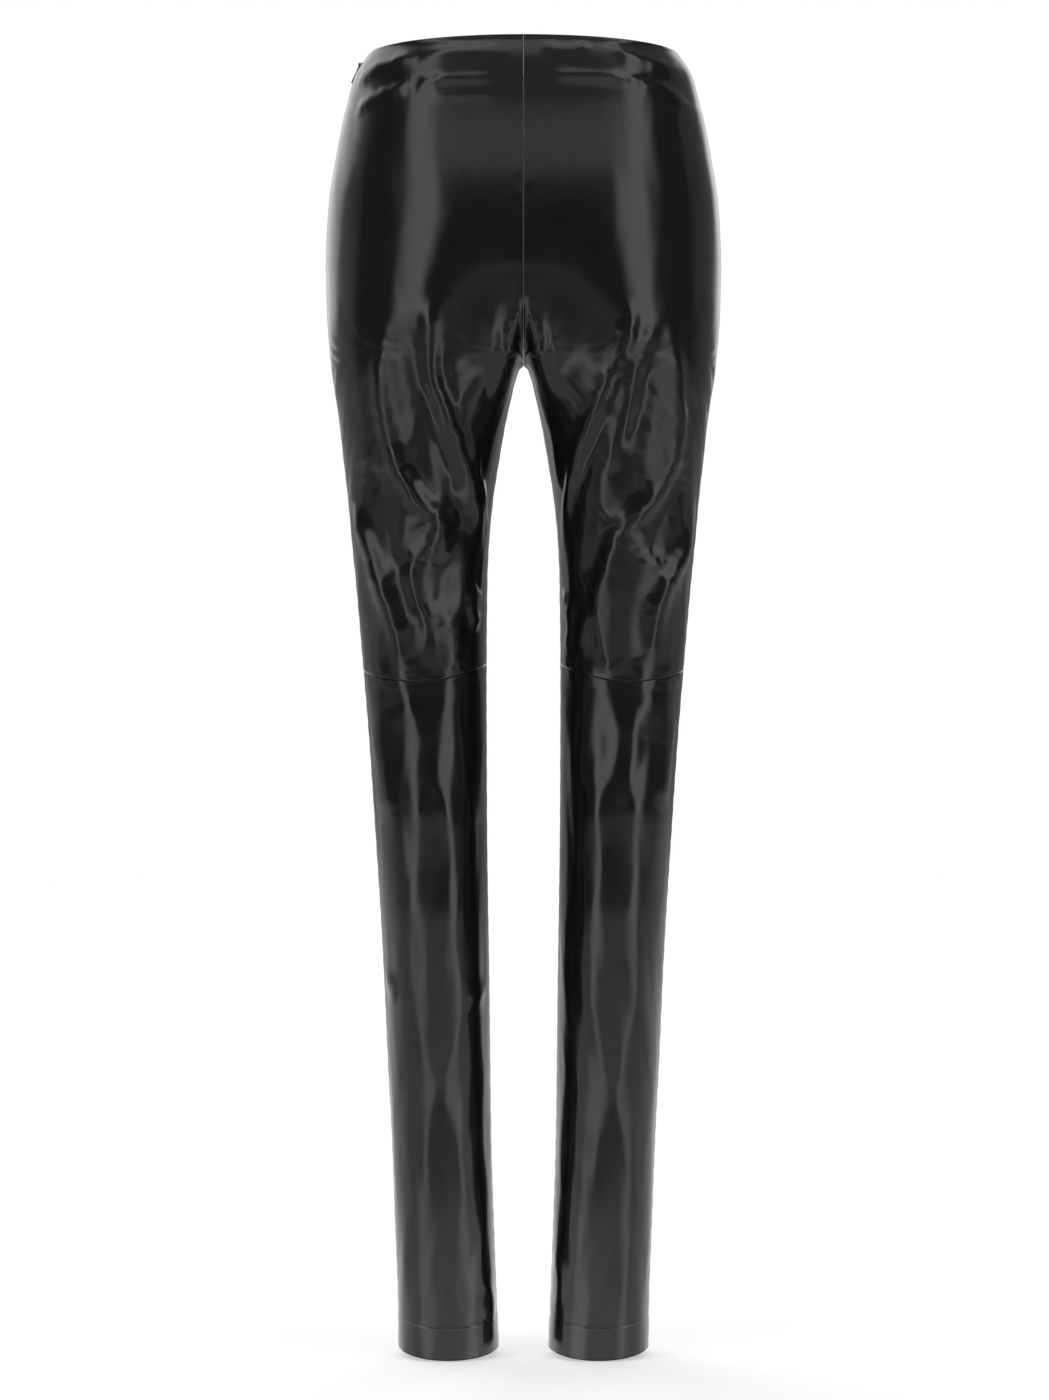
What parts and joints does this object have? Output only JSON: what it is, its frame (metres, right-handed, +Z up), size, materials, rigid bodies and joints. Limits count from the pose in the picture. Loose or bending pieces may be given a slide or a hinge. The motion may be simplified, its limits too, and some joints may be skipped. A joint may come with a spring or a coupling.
{
  "type": "leggings",
  "caption": "High-waisted black leather-look leggings in their worn shape, with a seam behind each knee and a concealed zip at the left hip.",
  "frame": {"origin": "centre of the waist opening, level with the top edge at the side seams", "axes": "+Z up along the body, +X towards the wearer's right, +Y towards the front; the pictured back faces -Y"},
  "size_m": [0.3196, 0.2331, 1.051],
  "materials": {
    "cloth": "glossy black leather-look stretch cloth, smooth with a very fine lengthwise grain",
    "tape": "matte black woven zip tape",
    "zip_metal": "dark gunmetal zip slider and pull"
  },
  "bodies": {
    "garment": {"back_left_upper": "cloth", "back_right_upper": "cloth", "back_left_lower": "cloth", "back_right_lower": "cloth", "front_left": "cloth", "front_right": "cloth", "zip_tape": "tape", "zip_slider": "zip_metal"},
    "pull": {"zip_pull": "zip_metal"}
  },
  "joints": [
    {"name": "pull_swing", "type": "hinge", "parent": "garment", "child": "pull", "pos_m": [-0.13251, 0, -0.00742], "axis": [0, 1, 0], "range_deg": [0, 150]}
  ]
}
